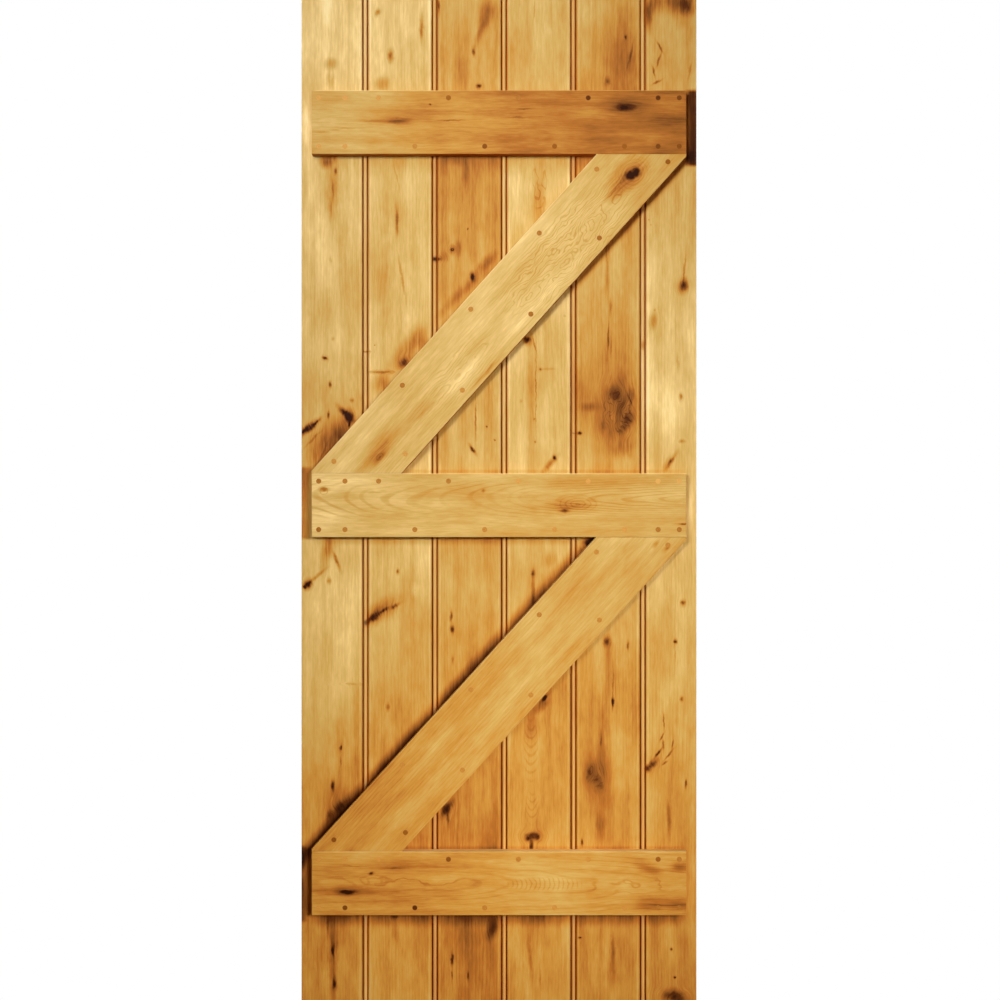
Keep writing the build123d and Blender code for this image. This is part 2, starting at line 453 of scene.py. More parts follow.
    # Tone: how dark the wood is, from the look, the noise, the rings and the marks, with painted shadows
    # and painted highlights
    bent = step(tree, "CombineXYZ", {"X": sideways, "Y": into, "Z": along})
    bent_seeded = step(tree, "VectorMath", {0: bent, 1: seed * streak_shift}, operation="ADD")
    pores = cloud(tree, bent, *pore_noise)
    streaks = cloud(tree, bent_seeded, *streak_noise)
    blotches = cloud(tree, seeded, *blotch_noise)
    share = spread(tree, along, reach[0] * millimetres, reach[1] * millimetres, 0.0, 1.0)
    tone = step(tree, "ValToRGB", {0: share})
    set_stops(tone.node.color_ramp, [(where, (shade, shade, shade, 1.0)) for where, shade in look["tones"]])
    band = look["bands"]
    tone = sum_of(tree, "ADD", tone, spread(tree, bands, *noise_range, -band, band))
    tone = sum_of(tree, "ADD", tone, spread(tree, pores, *noise_range, *pore_tones))
    tone = sum_of(tree, "ADD", tone, spread(tree, blotches, *noise_range, *blotch_tones))
    tone = sum_of(tree, "ADD", tone, fade(tree, streaks, *streak_range, *streak_tones))
    tone = sum_of(tree, "ADD", tone, late_wood)
    uneven = fade(tree, cloud(tree, bent, *halo_noise), *halo_range, *halo_shares)
    tone = sum_of(tree, "MULTIPLY_ADD", around, uneven, tone)
    broken = step(tree, "SeparateXYZ", {0: lumps}, "Y")
    broken = fade(tree, broken, *core_range, *core_shares)
    tone = sum_of(tree, "MULTIPLY_ADD", core, broken, tone)
    # Painted shadows lie on the ledged face only
    on_face = fade(tree, into, *shadow_depth_fade, 1.0, 0.0)
    tone = sum_of(tree, "MULTIPLY_ADD", painted_shadow, on_face, tone)
    # Painted highlights: edges painted paler
    rubbed = step(tree, "Attribute", {}, "Fac", attribute_name="rubbed_edge")
    tone = sum_of(tree, "MULTIPLY_ADD", rubbed, highlight_tone, tone)
    colour = step(tree, "ValToRGB", {0: sum_of(tree, "DIVIDE", tone, darkest_tone)})
    set_stops(colour.node.color_ramp, [(where / darkest_tone, shade) for where, shade in oak_colours])
    clean = sum_of(tree, "SUBTRACT", 1.0, sum_of(tree, "MINIMUM", core, 1.0))
    # Painted highlight: the tops of the beads take a paler colour, except over knots
    bead = sum_of(tree, "MULTIPLY", step(tree, "Attribute", {}, "Fac", attribute_name="bead_crown"), clean)
    colour = step(tree, "Mix", {0: bead, 6: colour, 7: bead_highlight_colour}, 2, data_type="RGBA")
    # Staining in the joints and on end grain, and painted shade on the rails' undersides and shaded edges
    joint = step(tree, "Attribute", {}, "Fac", attribute_name="joint_stain")
    colour = step(tree, "Mix", {0: joint, 6: colour, 7: stain_and_shade_colour}, 2, data_type="RGBA")

    rough = spread(tree, pores, *gloss_range, *oak_roughness)
    relief = step(tree, "Bump", {"Strength": pore_relief, "Distance": pore_depth, "Height": pores})
    wood = step(tree, "BsdfPrincipled", {
        "Base Color": colour,
        "Roughness": rough,
        "Specular IOR Level": oak_specular,
        "Normal": relief,
    })
    step(tree, "OutputMaterial", {"Surface": wood})
    return material


def place_marks(look, depth):
    """A look whose marks, painted shadows, swirls and ripples, given in picture points, are places on the
    door and half sizes in millimetres."""
    nearer = (camera_distance + depth) / camera_distance * metres_per_pixel * millimetres
    placed = dict(look)
    for kind in ("marks", "painted_shadow", "swirls", "ripples"):
        placed[kind] = [
            (*on_door(across, down, depth), wide * nearer, long * nearer, *rest)
            for across, down, wide, long, *rest in look.get(kind, [])
        ]
    return placed


# Painted shadows: the boards are painted darker beside the ledges, under the bottom ledge and along
# one edge of each brace, where shade falls.
# Strips: across, down, half width, half length, lean, darkness
board_painted_shadows = [
    (453, 691.4, 11, 290, 42.2, 0.45), (629.8, 224.1, 6.5, 100, 41.6, 0.25), (500, 916, 14, 194, 90, 0.33),
    (500, 848, 3, 194, 90, 0.12), (500, 540, 7, 194, 90, 0.18), (500, 471.5, 3, 194, 90, 0.12),
    (500, 156, 26, 194, 90, 0.14), (303, 503, 14, 38, 0, 0.42), (300, 884, 11, 40, 0, 0.34),
    (693, 128, 11, 40, 0, 0.85),
]
# Here and below, places and half sizes are in picture points, and other lengths in millimetres.
# Pith: how far to the side, how far below the face, and its slope along the grain.
# Rings: spacing, darkness of their lines, and how far from the pith these reach.
# Marks: across, down, half width, half length, lean, darkness of core and of wood around.
# Swirls: across, down, half width, half length, how far rings are stirred, darkness of lines.
# Ripples: across, down, half width, half length, distance of the eye, squeeze, gap, darkness.
board_grain = {"rings": (6.0, 0.055, 500), "curl": 12.0, "bands": 0.035}

# Each board's tones by height in the picture, its pith line, and its knots and streaks. The tones grow
# darker towards the bottom, partly the wood and partly a painted shade for light falling off down the door.
board_looks = {
    "board_1": {
        "tones": [
            (0, 0.13), (120, 0.18), (250, 0.23), (340, 0.30), (380, 0.36), (430, 0.47), (470, 0.37),
            (560, 0.22), (640, 0.24), (700, 0.34), (760, 0.50), (820, 0.62), (900, 0.66), (1000, 0.62),
        ],
        "pith": (150, 60, 0.01),
        "marks": [
            (331, 64, 5, 3.4, 0, 0, 0.34), (329, 80, 2, 6, 0, 0, 0.28), (333, 82, 1.5, 6, 0, 0, 0.22),
            (326, 161, 6, 4, 0, 0, 0.4), (335, 157, 2, 3, 0, 0.15, 0.2),
            (335.5, 171, 1.5, 2.5, 0, 0.22, 0.2), (332, 192, 7, 18, 0, 0, 0.3),
            (333, 190, 1, 8, -5, 0.11, 0.1), (331, 208, 1.2, 6, 0, 0.09, 0.1),
            (312, 190, 5, 11, 0, 0, -0.16), (331, 260, 1, 4, 0, 0.08, 0.12), (326, 310, 6, 18, 0, 0, 0.12),
            (325, 358.4, 3, 1.8, 20, 0.75, 0.2), (330.2, 384.8, 1.5, 2.4, 0, 0.6, 0.2),
            (333, 339, 1.5, 1.5, 0, 0.11, 0.15), (352, 400, 2.5, 1.5, 0, 0.11, 0.18),
            (345, 413, 2.8, 6.5, -45, 0.42, 0.34), (349.5, 417.5, 5, 5, 0, 0.5, 0.4),
            (349.5, 424, 1.2, 3, 15, 0.6, 0.2), (316, 422.5, 1.5, 5, 45, 0.52, 0.2),
            (308, 428.5, 3.4, 8, 52, 0.42, 0.44), (304, 431, 1.5, 2, 50, 0.75, 0.2),
            (328.4, 415, 1, 3.2, 0, 0.45, 0.18), (323, 447, 12, 14, 20, 0, 0.34),
            (342, 440, 8, 12, 0, 0, 0.34), (312, 440, 1.2, 9, 45, 0.11, 0.1),
            (322, 455, 1, 10, 25, 0.09, 0.1), (328, 550, 5, 11, 10, 0, 0.38),
            (336.5, 560.5, 1.8, 7, -22, 0.41, 0.25), (329, 580.5, 2, 2.2, 0, 0.22, 0.25),
            (308, 584, 4, 3.6, 20, 0.68, 0.38), (305, 587, 2, 2, 0, 0.68, 0.2),
            (317, 576, 1.5, 7, 50, 0.08, 0.25), (320, 600, 8, 12, 0, 0, -0.08),
            (352, 684, 9, 0.9, 0, 0.09, 0.1), (340.7, 748, 1.2, 2.5, 10, 0.52, 0.2),
            (341, 762, 0.8, 5, 0, 0.19, 0.1), (339, 740, 4, 20, 0, 0, 0.14),
            (333, 786, 1.8, 5, 0, 0.5, 0.2), (340, 806, 4.5, 7, 35, 0.2, 0.16),
            (329.5, 815, 3.2, 6, 15, 0.22, 0.12), (335, 800, 10, 14, 0, 0, 0.14),
            (333, 960, 4, 26, 0, 0, 0.28), (332.8, 950.5, 1.5, 4, 0, 0.34, 0.2),
            (334.4, 984, 2, 4, 0, 0.34, 0.25), (328, 925, 1.5, 8, 0, 0.08, 0.15),
            # This mark paints the board paler beside the top ledge's left end: a painted highlight
            (306, 122, 4, 11, 0, 0, -0.2),
        ],
    },
    "board_2": {
        "tones": [
            (0, 0.18), (80, 0.23), (150, 0.30), (250, 0.36), (320, 0.36), (400, 0.32), (500, 0.30),
            (560, 0.27), (640, 0.36), (700, 0.46), (800, 0.60), (900, 0.66), (960, 0.54), (1000, 0.54),
        ],
        "pith": (-160, 70, 0.012),
        "marks": [
            (377.7, 12.5, 2.4, 2.6, 15, 0.32, 0.24), (390.4, 55.6, 3, 4, 0, 0.24, 0.4),
            (390.4, 56, 1.6, 2.4, 0, 0.4, 0), (421.5, 28, 1.8, 9, 0, 0.2, 0.26), (382, 84, 6, 4, 0, 0, 0.3),
            (397, 222, 1.6, 11, 0, 0.24, 0.2), (396.5, 176, 0.7, 9, -14, 0.09, 0.08),
            (402, 278, 1, 18, -10, 0.18, 0.12), (401, 320, 0.8, 8, 0, 0.08, 0.08),
            (416, 336, 7, 7, 30, 0, 0.22), (408, 352, 8, 13, 42, 0, 0.3), (424, 345, 4, 4, 0, 0, 0.15),
            (404.4, 362.5, 4, 4, 45, 0.3, 0.3), (380, 372, 12, 1.2, 0, 0.26, 0.2),
            (375, 345, 0.8, 0.8, 0, 0.38, 0.05), (382, 384, 8, 6, 0, 0, 0.3), (408, 318, 6, 8, 0, 0, -0.1),
            (365.6, 351.5, 4, 1, 0, 0.7, 0.1), (397.8, 571.8, 1.6, 2, 0, 0.38, 0.2),
            (415.5, 590, 4, 4, 0, 0, -0.15), (415, 590, 1, 1, 0, 0.11, 0),
            (395, 606, 1.8, 4.5, 60, 0.35, 0.15), (384.5, 610, 1.6, 6, 55, 0.35, 0.1),
            (374, 617, 3.6, 6, 45, 0.42, 0.2), (367.5, 621.5, 2.6, 4, 40, 0.8, 0.25),
            (379, 612, 8, 12, 56, 0, 0.36), (387.8, 707, 1.8, 2.6, 0, 0.15, 0.2),
            (373, 735, 5, 14, 0, 0, 0.14), (394, 916, 3, 2, 0, 0.08, 0.2), (395, 932, 3, 7, 0, 0, 0.14),
        ],
    },
    "board_3": {
        "tones": [
            (0, 0.40), (60, 0.48), (150, 0.57), (250, 0.56), (330, 0.47), (400, 0.37), (470, 0.42),
            (560, 0.46), (640, 0.47), (720, 0.53), (800, 0.66), (900, 0.70), (1000, 0.68),
        ],
        "pith": (170, 60, 0.01),
        "marks": [
            (489, 8, 9, 9, 15, 0, 0.19), (485, 20, 6, 9, 20, 0, 0.17), (479, 35, 3, 7, 20, 0, 0.2),
            (474, 51.8, 1.8, 3.4, 0, 0.36, 0.26), (479, 86, 2.5, 1.8, 0, 0.52, 0.25),
            (438.6, 6, 1.6, 6, 0, 0.52, 0.2), (462, 70, 7, 10, 0, 0, 0.12), (497, 30, 3, 20, 0, 0, 0.12),
            (456, 160, 10, 3, 0, 0, 0.15), (466, 175, 3, 9, 0, 0, 0.14),
            (467.6, 228.5, 0.9, 1.2, 0, 0.3, 0.14), (452, 249.6, 3, 2.8, 0, 0.15, 0.26),
            (458, 250, 4, 5, 0, 0, 0.2), (445, 256, 4, 3, 0, 0, 0.15), (435, 259, 5, 2, 0, 1.0, 0.3),
            (472.4, 276.5, 2.4, 3, -10, 0.49, 0.4), (466, 288, 4.5, 22, 45, 0, 0.22),
            (486, 262, 4, 8, 45, 0, 0.25), (475.6, 418, 0.7, 18, 0, 0.34, 0.12),
            (472.4, 449.4, 1.5, 4, -35, 0.52, 0.3), (486.7, 426.7, 0.9, 0.9, 0, 0.38, 0.15),
            (494.4, 440, 0.9, 0.9, 0, 0.45, 0.12), (451, 616, 1.2, 5, 0, 0.38, 0.2),
            (452.4, 629, 2, 3.4, 0, 0.38, 0.25), (453, 660, 1.5, 3, 0, 0.11, 0.12),
            (469, 662, 3, 6, 0, 0, 0.14), (446, 809, 4, 6, 35, 0.24, 0.42),
            (448, 818, 1.5, 6, 0, 0.15, 0.2), (452, 959.5, 1.6, 4.6, 0, 0.6, 0.25),
            (452, 975, 0.9, 4, 0, 0.3, 0.12), (468, 976, 1.2, 3, 0, 0.22, 0.15),
            (493, 928, 4.4, 5, 0, 0.16, 0.26), (489, 935, 4, 4, 0, 0, 0.15), (470, 945, 8, 16, 0, 0, 0.06),
        ],
        "ripples": [(452, 249.6, 5, 5, 0, 1, 7.5, 0.3)],
    },
    "board_4": {
        "tones": [
            (0, 0.33), (60, 0.40), (130, 0.42), (190, 0.25), (260, 0.25), (350, 0.32), (430, 0.28),
            (520, 0.31), (600, 0.40), (700, 0.52), (780, 0.53), (850, 0.53), (1000, 0.53),
        ],
        "pith": (10, 30, 0.02),
        "marks": [
            (534, 10, 0.8, 9, 5, 0.11, 0.1), (539, 180, 6, 14, 0, 0, 0.1), (538, 208, 6, 12, 0, 0, 0.2),
            (516, 200, 4, 14, 0, 0, -0.08), (527, 340, 3.5, 3, -20, 0.68, 0.4),
            (534.5, 345, 0.8, 7, -15, 0.22, 0.15), (536, 390, 0.6, 45, 0, 0.26, 0.1),
            (531, 390, 3, 36, 0, 0, 0.13), (540.4, 369, 1.5, 1.3, 0, 0.38, 0.15),
            (548, 369, 6, 0.7, 0, 0, 0.12), (534.5, 419, 1.2, 0.9, 0, 0.26, 0.1),
            (535, 442, 0.9, 1.2, 0, 0.38, 0.1), (521, 401, 1.2, 1.2, 0, 0.08, 0.1),
            (554.4, 457.8, 1.6, 2, 0, 0.56, 0.25), (550, 464, 2.5, 7, 40, 0.08, 0.3),
            (533, 573, 1.8, 2.6, 0, 0.26, 0.2), (533, 592, 1.6, 12, 0, 0.06, 0.16),
            (551, 560, 6, 4, 0, 0, 0.16), (544.4, 698.5, 1.6, 3.2, 40, 0.6, 0.25),
            (541, 706, 4, 5, 40, 0, 0.3), (533, 725, 6, 10, 0, 0, 0.14),
            (532.5, 836, 7, 3.4, 0, 0.55, 0.16), (528, 838, 3, 3, 0, 0.55, 0.1),
            (537, 837, 3, 3, 0, 0.55, 0.1), (531.5, 845, 2.4, 5.5, 0, 0.55, 0.16),
            (530, 955, 2, 14, -5, 0.08, 0.14), (540, 975, 1, 10, 0, 0.08, 0.1),
        ],
        "swirls": [(540, 186, 9, 32, 60, 0.1)],
        "ripples": [
            (531, 752, 9, 38, 150, 5, 17, 0.09), (532, 808, 8, 20, 150, 6, 15, 0.08),
            (564.5, 316, 4, 4, 0, 1, 6, 0.12),
        ],
    },
    "board_5": {
        "tones": [
            (0, 0.46), (60, 0.60), (150, 0.58), (220, 0.43), (300, 0.41), (350, 0.55), (400, 0.65),
            (460, 0.40), (560, 0.30), (620, 0.42), (700, 0.56), (800, 0.57), (900, 0.56), (1000, 0.58),
        ],
        "pith": (-150, 60, 0.012),
        "marks": [
            (622, 45, 9, 24, 0, 0, 0.13), (585, 40, 6, 30, 0, 0, -0.1), (625.8, 37, 1.4, 1.6, 0, 0.3, 0.2),
            (631, 55, 0.8, 10, 10, 0.09, 0.1), (629, 60, 1, 8, 15, 0.11, 0.1),
            (608, 82, 2.5, 3, 0, 0.15, 0.25), (606.5, 255, 0.8, 14, 0, 0.09, 0.1),
            (608, 340, 0.9, 14, 3, 0.19, 0.14), (611, 345, 0.7, 8, 0, 0.11, 0.1),
            (610.5, 308, 1.4, 5, 0, 0.09, 0.2), (607, 280, 2, 9, 0, 0, 0.14), (619, 413, 17, 18, 0, 0, 0.3),
            (613, 392, 7, 7, 15, 0.08, 0.1), (617, 396, 4, 6, -20, 0.1, 0.05),
            (629, 419, 6, 7, 35, 0.17, 0.1), (631, 394, 3, 6, 0, 0.1, 0.1),
            (624, 428, 4, 5, 40, 0.14, 0.08), (603, 427, 3, 6, 0, 0.14, 0.12),
            (589, 407, 8, 2.5, 0, 0, 0.18), (625, 447, 8, 7, 20, 0, 0.24), (612, 450, 6, 10, 0, 0, 0.12),
            (630, 400, 1, 8, -25, 0.19, 0.1), (579.6, 433, 2.4, 1.4, 0, 0.68, 0.2),
            (574, 433, 4, 0.8, 0, 0.3, 0.1), (606.7, 641, 3.4, 3.4, 0, 0.3, 0.28),
            (607, 650, 4, 8, 0, 0, 0.15), (628, 646, 1.2, 3, 0, 0.3, 0.2),
            (613, 682, 0.7, 14, 0, 0.15, 0.1), (612.8, 703, 1.2, 4.6, 0, 0.56, 0.25),
            (602, 735, 5, 18, 0, 0, 0.16), (601, 740, 0.8, 6, 0, 0.15, 0.1), (597, 772, 11, 12, 0, 0, 0.13),
            (594, 778, 5, 7, -20, 0.07, 0.05), (600, 784, 3, 5, -20, 0.1, 0.05),
            (589, 773, 2, 6, 15, 0.14, 0.05), (582, 842, 1.2, 2.8, 0, 0.52, 0.2),
            (600, 826, 4, 8, 0, 0, 0.18), (613, 950, 2, 14, 0, 0.06, 0.16),
            (580, 937.8, 1.6, 1, 0, 0.52, 0.2), (613, 975, 6, 9, 0, 0, 0.1), (591, 543, 6, 3, 0, 0.5, 0.4),
        ],
        "swirls": [(617, 411, 20, 26, 80, 0.07), (597, 775, 14, 15, 60, 0.07)],
    },
    "board_6": {
        "tones": [
            (0, 0.45), (60, 0.38), (150, 0.41), (250, 0.32), (320, 0.22), (400, 0.15), (470, 0.26),
            (570, 0.27), (680, 0.39), (780, 0.48), (900, 0.56), (1000, 0.58),
        ],
        "pith": (140, 60, 0.012),
        "marks": [
            (651, 5, 8, 9, 20, 0, 0.3), (676, 2, 18, 7, 0, 0, 0.32), (648, 18, 3.5, 8, -5, 0, 0.34),
            (688, 6, 6, 6, 0, 0, 0.26), (690, 40, 3, 20, 0, 0, 0.12), (660, 47, 1.1, 5, -30, 0.32, 0.16),
            (659, 60, 1.1, 6, 20, 0.32, 0.16), (654, 72, 1, 5, -15, 0.32, 0.16),
            (657, 82, 1.1, 4, 60, 0.32, 0.16), (690, 70, 1, 8, 10, 0.11, 0.12),
            (684, 286, 4, 4.5, 15, 0.26, 0.42), (684.5, 268, 0.9, 12, 5, 0.19, 0.2),
            (681, 285, 5, 5, 0, 0, 0.15), (649, 220, 0.8, 0.8, 0, 0.26, 0.1),
            (651, 225, 0.7, 0.7, 0, 0.22, 0.1), (655, 310, 1, 1, 0, 0.22, 0.1),
            (653.5, 322, 3.4, 5, 10, 0.06, 0.26), (643, 345, 2, 5, 0, 0.38, 0.15),
            (678, 362, 1.2, 5, 0, 0, 0.18), (680.7, 396.7, 2, 2.6, 0, 0.45, 0.28),
            (671, 461.5, 2, 6.5, 30, 0.45, 0.34), (667, 463, 2, 5, 30, 0, 0.2),
            (682, 441, 3, 1.2, 0, 0.08, 0.2), (683, 603, 2.6, 2.2, 0, 0.7, 0.3),
            (675.5, 641.6, 2, 1.8, 0, 0.5, 0.26), (675, 655, 0.8, 12, 0, 0.08, 0.1),
            (682, 699, 1.8, 1.8, 0, 0.22, 0.22), (672, 690, 8, 8, 0, 0, -0.1),
            (663.5, 722, 0.9, 8, -3, 0.38, 0.15), (662, 737, 0.9, 4, 30, 0.38, 0.12),
            (663.5, 745, 1.1, 5, -5, 0.41, 0.15), (658.5, 753, 1.1, 5, 40, 0.41, 0.2),
            (652, 765, 3, 6, 45, 0.3, 0.24), (647.5, 768.5, 3, 2.2, 0, 0.45, 0.2),
            (672.5, 744, 0.9, 5, 10, 0.34, 0.12), (668.5, 755, 0.9, 6, 40, 0.3, 0.15),
            (664.5, 763, 1, 3, 50, 0.26, 0.15), (686, 783.5, 1.1, 3.4, 0, 0.52, 0.2),
            (669, 818, 2, 14, 0, 0.04, 0.2), (671, 949.5, 1.2, 1.4, 0, 0.52, 0.12),
            (675, 977, 1.4, 1.2, 0, 0.52, 0.15), (673, 996, 9, 4, 0, 0.19, 0.35),
            # The last mark paints a pale strip beside the middle ledge's right end: a painted highlight
            (680, 1000, 8, 4, 0, 0.15, 0.2), (690, 505, 3, 12, 0, 0, -0.16),
        ],
    },
}

for number, (name, look) in enumerate(board_looks.items(), start=1):
    low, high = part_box(name)
    tongued = number > 1
    grooved = number < len(board_looks)
    left = low.x + tongue_length if tongued else low.x
    section, stain, flat, crown, rubbed = board_section(left, high.x, high.y - low.y, tongued, grooved)
    heights = np.linspace(low.z, high.z, board_stations)
    rings = np.zeros((board_stations, len(section), 3))
    rings[..., 0] = section[:, 0]
    rings[..., 1] = low.y + section[:, 1]
    rings[..., 2] = heights[:, None]
    inward = np.where(section[:, 1] < (high.y - low.y) / 2, 1, -1) * flat
    rings[..., 1] += inward * planed(rings[..., 0], rings[..., 2], number)
    on_points = (stain, bead_highlight_share * crown, rubbed)
    stain, crown, rubbed = [np.tile(values, (board_stations, 1)) for values in on_points]
    board = skin(f"oak_{name}", rings, joint_stain=stain, bead_crown=crown, rubbed_edge=rubbed)
    centre = ((left + high.x) / 2, low.y, (low.z + high.z) / 2)
    half_height = (high.z - low.z) / 2
    look = place_marks({**board_grain, **look, "painted_shadow": board_painted_shadows}, 0)
    look["tones"] = [(1 - down / picture_pixels, tone) for down, tone in reversed(look["tones"])]
    finish = oak(f"board_oak_{number}", math.pi / 2, centre, (-half_height, half_height), number, look)
    board.data.materials.append(finish)
    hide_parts(name)
    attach(board, "root")

# Ledges: three oak rails planed square and laid flat across the boards, with their edges just eased.
# Each is screwed through to every board, and carries the weight of the door to its hinge side.
rail_arris = 0.0012
rail_arris_steps = 5
rail_edge_points = 60
rail_wobble = 0.00018
rail_stain_and_shade_fall = np.array([1.0, 0.75, 0.4])
# Darkening on the bottom, right end, top and left end: painted shade under the ledge, staining on the end
# grain
ledge_stains_and_shade = (0.75, 0.85, 0.0, 0.7)
# Painted highlight: the top edge of each ledge is painted paler
ledge_highlights = (0.0, 0.0, 2.6, 0.0)
ledge_seed = 10


def inset(outline, amount):
    """The corners of a convex outline with every edge moved inwards: each corner moves along the sum of its
    two edges' inward normals, divided by one plus the cosine between them."""
    edge = np.roll(outline, -1, axis=0) - outline
    edge /= np.linalg.norm(edge, axis=1, keepdims=True)
    normal = np.column_stack((-edge[:, 1], edge[:, 0]))
    before = np.roll(normal, 1, axis=0)
    both = (normal + before) / (1 + (normal * before).sum(axis=1, keepdims=True))
    return outline + amount * both


def rail_rings(outline, back, front, seed, edge_stains_and_shade, edge_highlights):
    """The rings of a flat rail, from its back to its face: the outline, then a quarter circle in to the face.
    Each edge is cut into equal steps, and wavers inwards by a sum of two sines that is nothing at corners.
    Gives the rings, how far each point is darkened, most at the back where the rail meets the boards, and
    how far its edge is painted pale, both by a share for each edge. The darkening is staining on end grain
    and painted shade on the other edges, and the pale edges are painted highlights."""
    draw = np.random.default_rng(seed)
    share = np.linspace(0, 1, rail_edge_points, endpoint=False)[None, :, None]
    swing, start = draw.uniform(2, 9, (2, len(outline), 1, 1))
    waver = np.sin(math.pi * share) * (1 + np.sin(share * swing * math.pi + start)) / 2
    bend = np.linspace(0, math.pi / 2, rail_arris_steps)
    depths = np.append(back, front + rail_arris * (1 - np.sin(bend)))
    insets = np.append(0, rail_arris * (1 - np.cos(bend)))
    rings = []
    for depth, amount in zip(depths, insets):
        corners = inset(outline, amount)
        after = np.roll(corners, -1, axis=0)
        edge = after - corners
        normal = np.column_stack((-edge[:, 1], edge[:, 0])) / np.linalg.norm(edge, axis=1, keepdims=True)
        points = corners[:, None, :] + share * edge[:, None, :]
        points = points + rail_wobble * waver * normal[:, None, :]
        points = points.reshape(-1, 2)
        rings.append(np.column_stack((points[:, 0], np.full(len(points), depth), points[:, 1])))
    stain = np.zeros((len(depths), len(outline), rail_edge_points))
    stain[:len(rail_stain_and_shade_fall)] = rail_stain_and_shade_fall[:, None, None] * np.array(edge_stains_and_shade)[:, None]
    rubbed = np.zeros(stain.shape)
    rubbed[:-1] = np.array(edge_highlights)[:, None]
    return np.array(rings), stain, rubbed


ledge_looks = {
    "top_ledge": {
        "tones": [
            (320, 0.36), (400, 0.47), (470, 0.60), (540, 0.67), (600, 0.73), (650, 0.74), (685, 0.74),
        ],
        "pith": (30, 20, 0.06),
        "rings": (7.0, 0.04, 200),
        "curl": 10.0,
        "bands": 0.03,
        "marks": [
            (398.5, 121, 3, 9, 0, 0.1, 0.24), (372, 121, 1.5, 8, 0, 0.04, 0.14),
            (345, 128, 1, 8, 0, 0.08, 0.1), (322, 132, 0.8, 6, 0, 0.11, 0.1),
            (335, 130, 0.8, 4, 0, 0.09, 0.1), (450, 120.5, 0.7, 12, -2, 0.22, 0.1),
            (430, 104.5, 1.2, 1.2, 0, 0.3, 0.15), (523, 109, 0.7, 6, 0, 0.15, 0.12),
            (519, 117.5, 0.8, 7, 0, 0.09, 0.14), (626, 107.5, 3.4, 9, 0, 0.34, 0.12),
            (625, 107, 8, 15, 0, 0, 0.18), (668, 117, 6, 12, 0, 0, 0.09), (674, 123, 9, 12, 0, 0, 0.07),
        ],
    },
    "middle_ledge": {
        "tones": [(320, 0.19), (390, 0.29), (470, 0.36), (580, 0.38), (680, 0.40)],
        "pith": (-14, 34, -0.085),
        "rings": (4.2, 0.15, 40),
        "curl": 10.0,
        "bands": 0.03,
        "marks": [
            (324, 489.5, 2, 3.4, 0, 0.41, 0.3), (375, 492, 1, 8, 0, 0.08, 0.1),
            (483, 491, 1.2, 1.6, 0, 0.15, 0.15), (564, 511, 2.4, 3.4, 0, 0.22, 0.24),
            (572, 505, 6, 15, 0, 0, 0.2), (684, 524, 0.9, 5, 0, 0.38, 0.25),
        ],
        "ripples": [(324, 491, 5, 7, 0, 1.2, 6, 0.15), (578, 504, 11, 26, 0, 2.2, 11, 0.1)],
    },
    "bottom_ledge": {
        "tones": [
            (320, 0.58), (420, 0.55), (500, 0.47), (560, 0.41), (620, 0.45), (650, 0.52), (680, 0.58),
        ],
        "pith": (0, 30, 0.05),
        "rings": (7.0, 0.08, 80),
        "curl": 12.0,
        "bands": 0.04,
        "marks": [
            (347, 892, 2, 6.5, 0, 0.75, 0.3), (347, 892, 4, 14, 0, 0, 0.22),
            (371, 873.6, 1.3, 2, 0, 0.6, 0.2), (648, 868, 5, 8, 20, 0, 0.22), (679, 867, 4, 5, 0, 0, 0.26),
            (652, 903, 6, 10, 0, 0, 0.18), (678, 904, 5, 8, 0, 0, 0.12), (392, 868, 1, 10, 0, 0.11, 0.12),
            (352, 866, 0.8, 8, 0, 0.09, 0.1),
        ],
        "swirls": [(622, 887, 10, 36, 40, 0.06), (668, 883, 9, 20, 55, 0.05), (395, 881, 7, 90, 45, 0.06)],
        "ripples": [(545, 884, 8, 46, -110, 2.4, 9, 0.13)],
    },
}

for number, (name, look) in enumerate(ledge_looks.items(), start=1):
    low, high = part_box(name)
    outline = np.array([[low.x, low.z], [high.x, low.z], [high.x, high.z], [low.x, high.z]])
    rings, stain, rubbed = rail_rings(outline, high.y, low.y, number, ledge_stains_and_shade, ledge_highlights)
    ledge = skin(f"oak_{name}", rings, joint_stain=stain, rubbed_edge=rubbed)
    centre = ((low.x + high.x) / 2, low.y, (low.z + high.z) / 2)
    half_length = (high.x - low.x) / 2
    look = place_marks(look, low.y)
    across = [on_door(side, 0, low.y)[0] - low.x for side, tone in look["tones"]]
    look["tones"] = [(x / (high.x - low.x), tone) for x, (side, tone) in zip(across, look["tones"])]
    finish = oak(f"ledge_oak_{number}", 0, centre, (-half_length, half_length), ledge_seed + number, look)
    ledge.data.materials.append(finish)
    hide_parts(name)
    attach(ledge, "root")

# Braces: two oak rails cut slantwise at both ends to fill the panels between the ledges. They rise from
# the hinge side and are butted, not notched, against the ledges, and screwed to the boards they cross.
brace_width = 0.134
brace_toe = 0.005
# Darkening from the foot round by the lower right side: staining on the cut ends, and painted shade, most on
# the lower right side and least on the upper left
brace_stains_and_shade = (0.5, 0.9, 0.7, 0.5, 0.1, 0.2)
# Painted highlights on each brace's upper left side and the toe below it
brace_highlights = (0.0, 0.0, 0.0, 0.0, 1.5, 1.0)
brace_seed = 20

